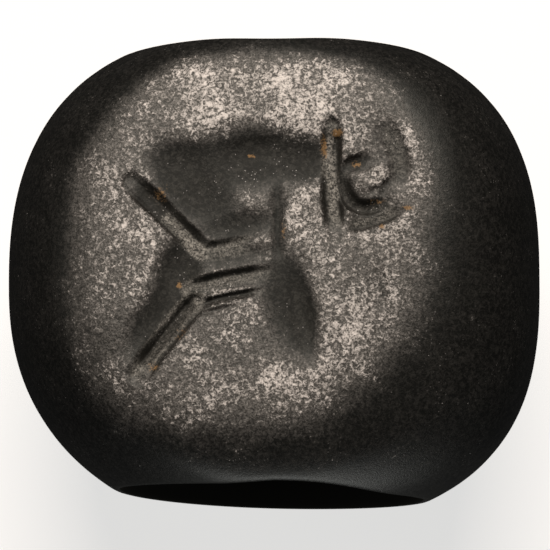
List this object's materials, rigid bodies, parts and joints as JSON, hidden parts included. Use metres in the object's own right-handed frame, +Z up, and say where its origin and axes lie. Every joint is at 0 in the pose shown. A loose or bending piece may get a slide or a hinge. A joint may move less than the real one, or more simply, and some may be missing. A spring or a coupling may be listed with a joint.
{
  "type": "stamp seal",
  "caption": "Rounded black stone bead, bored from end to end, with a flat sealing face engraved with a horned animal.",
  "frame": {"origin": "middle of the small worn spot on the back that the seal lies on", "axes": "+Z up, out of the sealing face; +Y along the bore; +X across the face, along the seal's longest extent"},
  "size_m": [0.0198, 0.0164, 0.0167],
  "materials": {
    "black_stone": "hard black iron-ore stone, satin from handling, the sealing face worn to a matt speckled grey"
  },
  "bodies": {
    "root": {"seal_stone": "black_stone"}
  },
  "joints": []
}
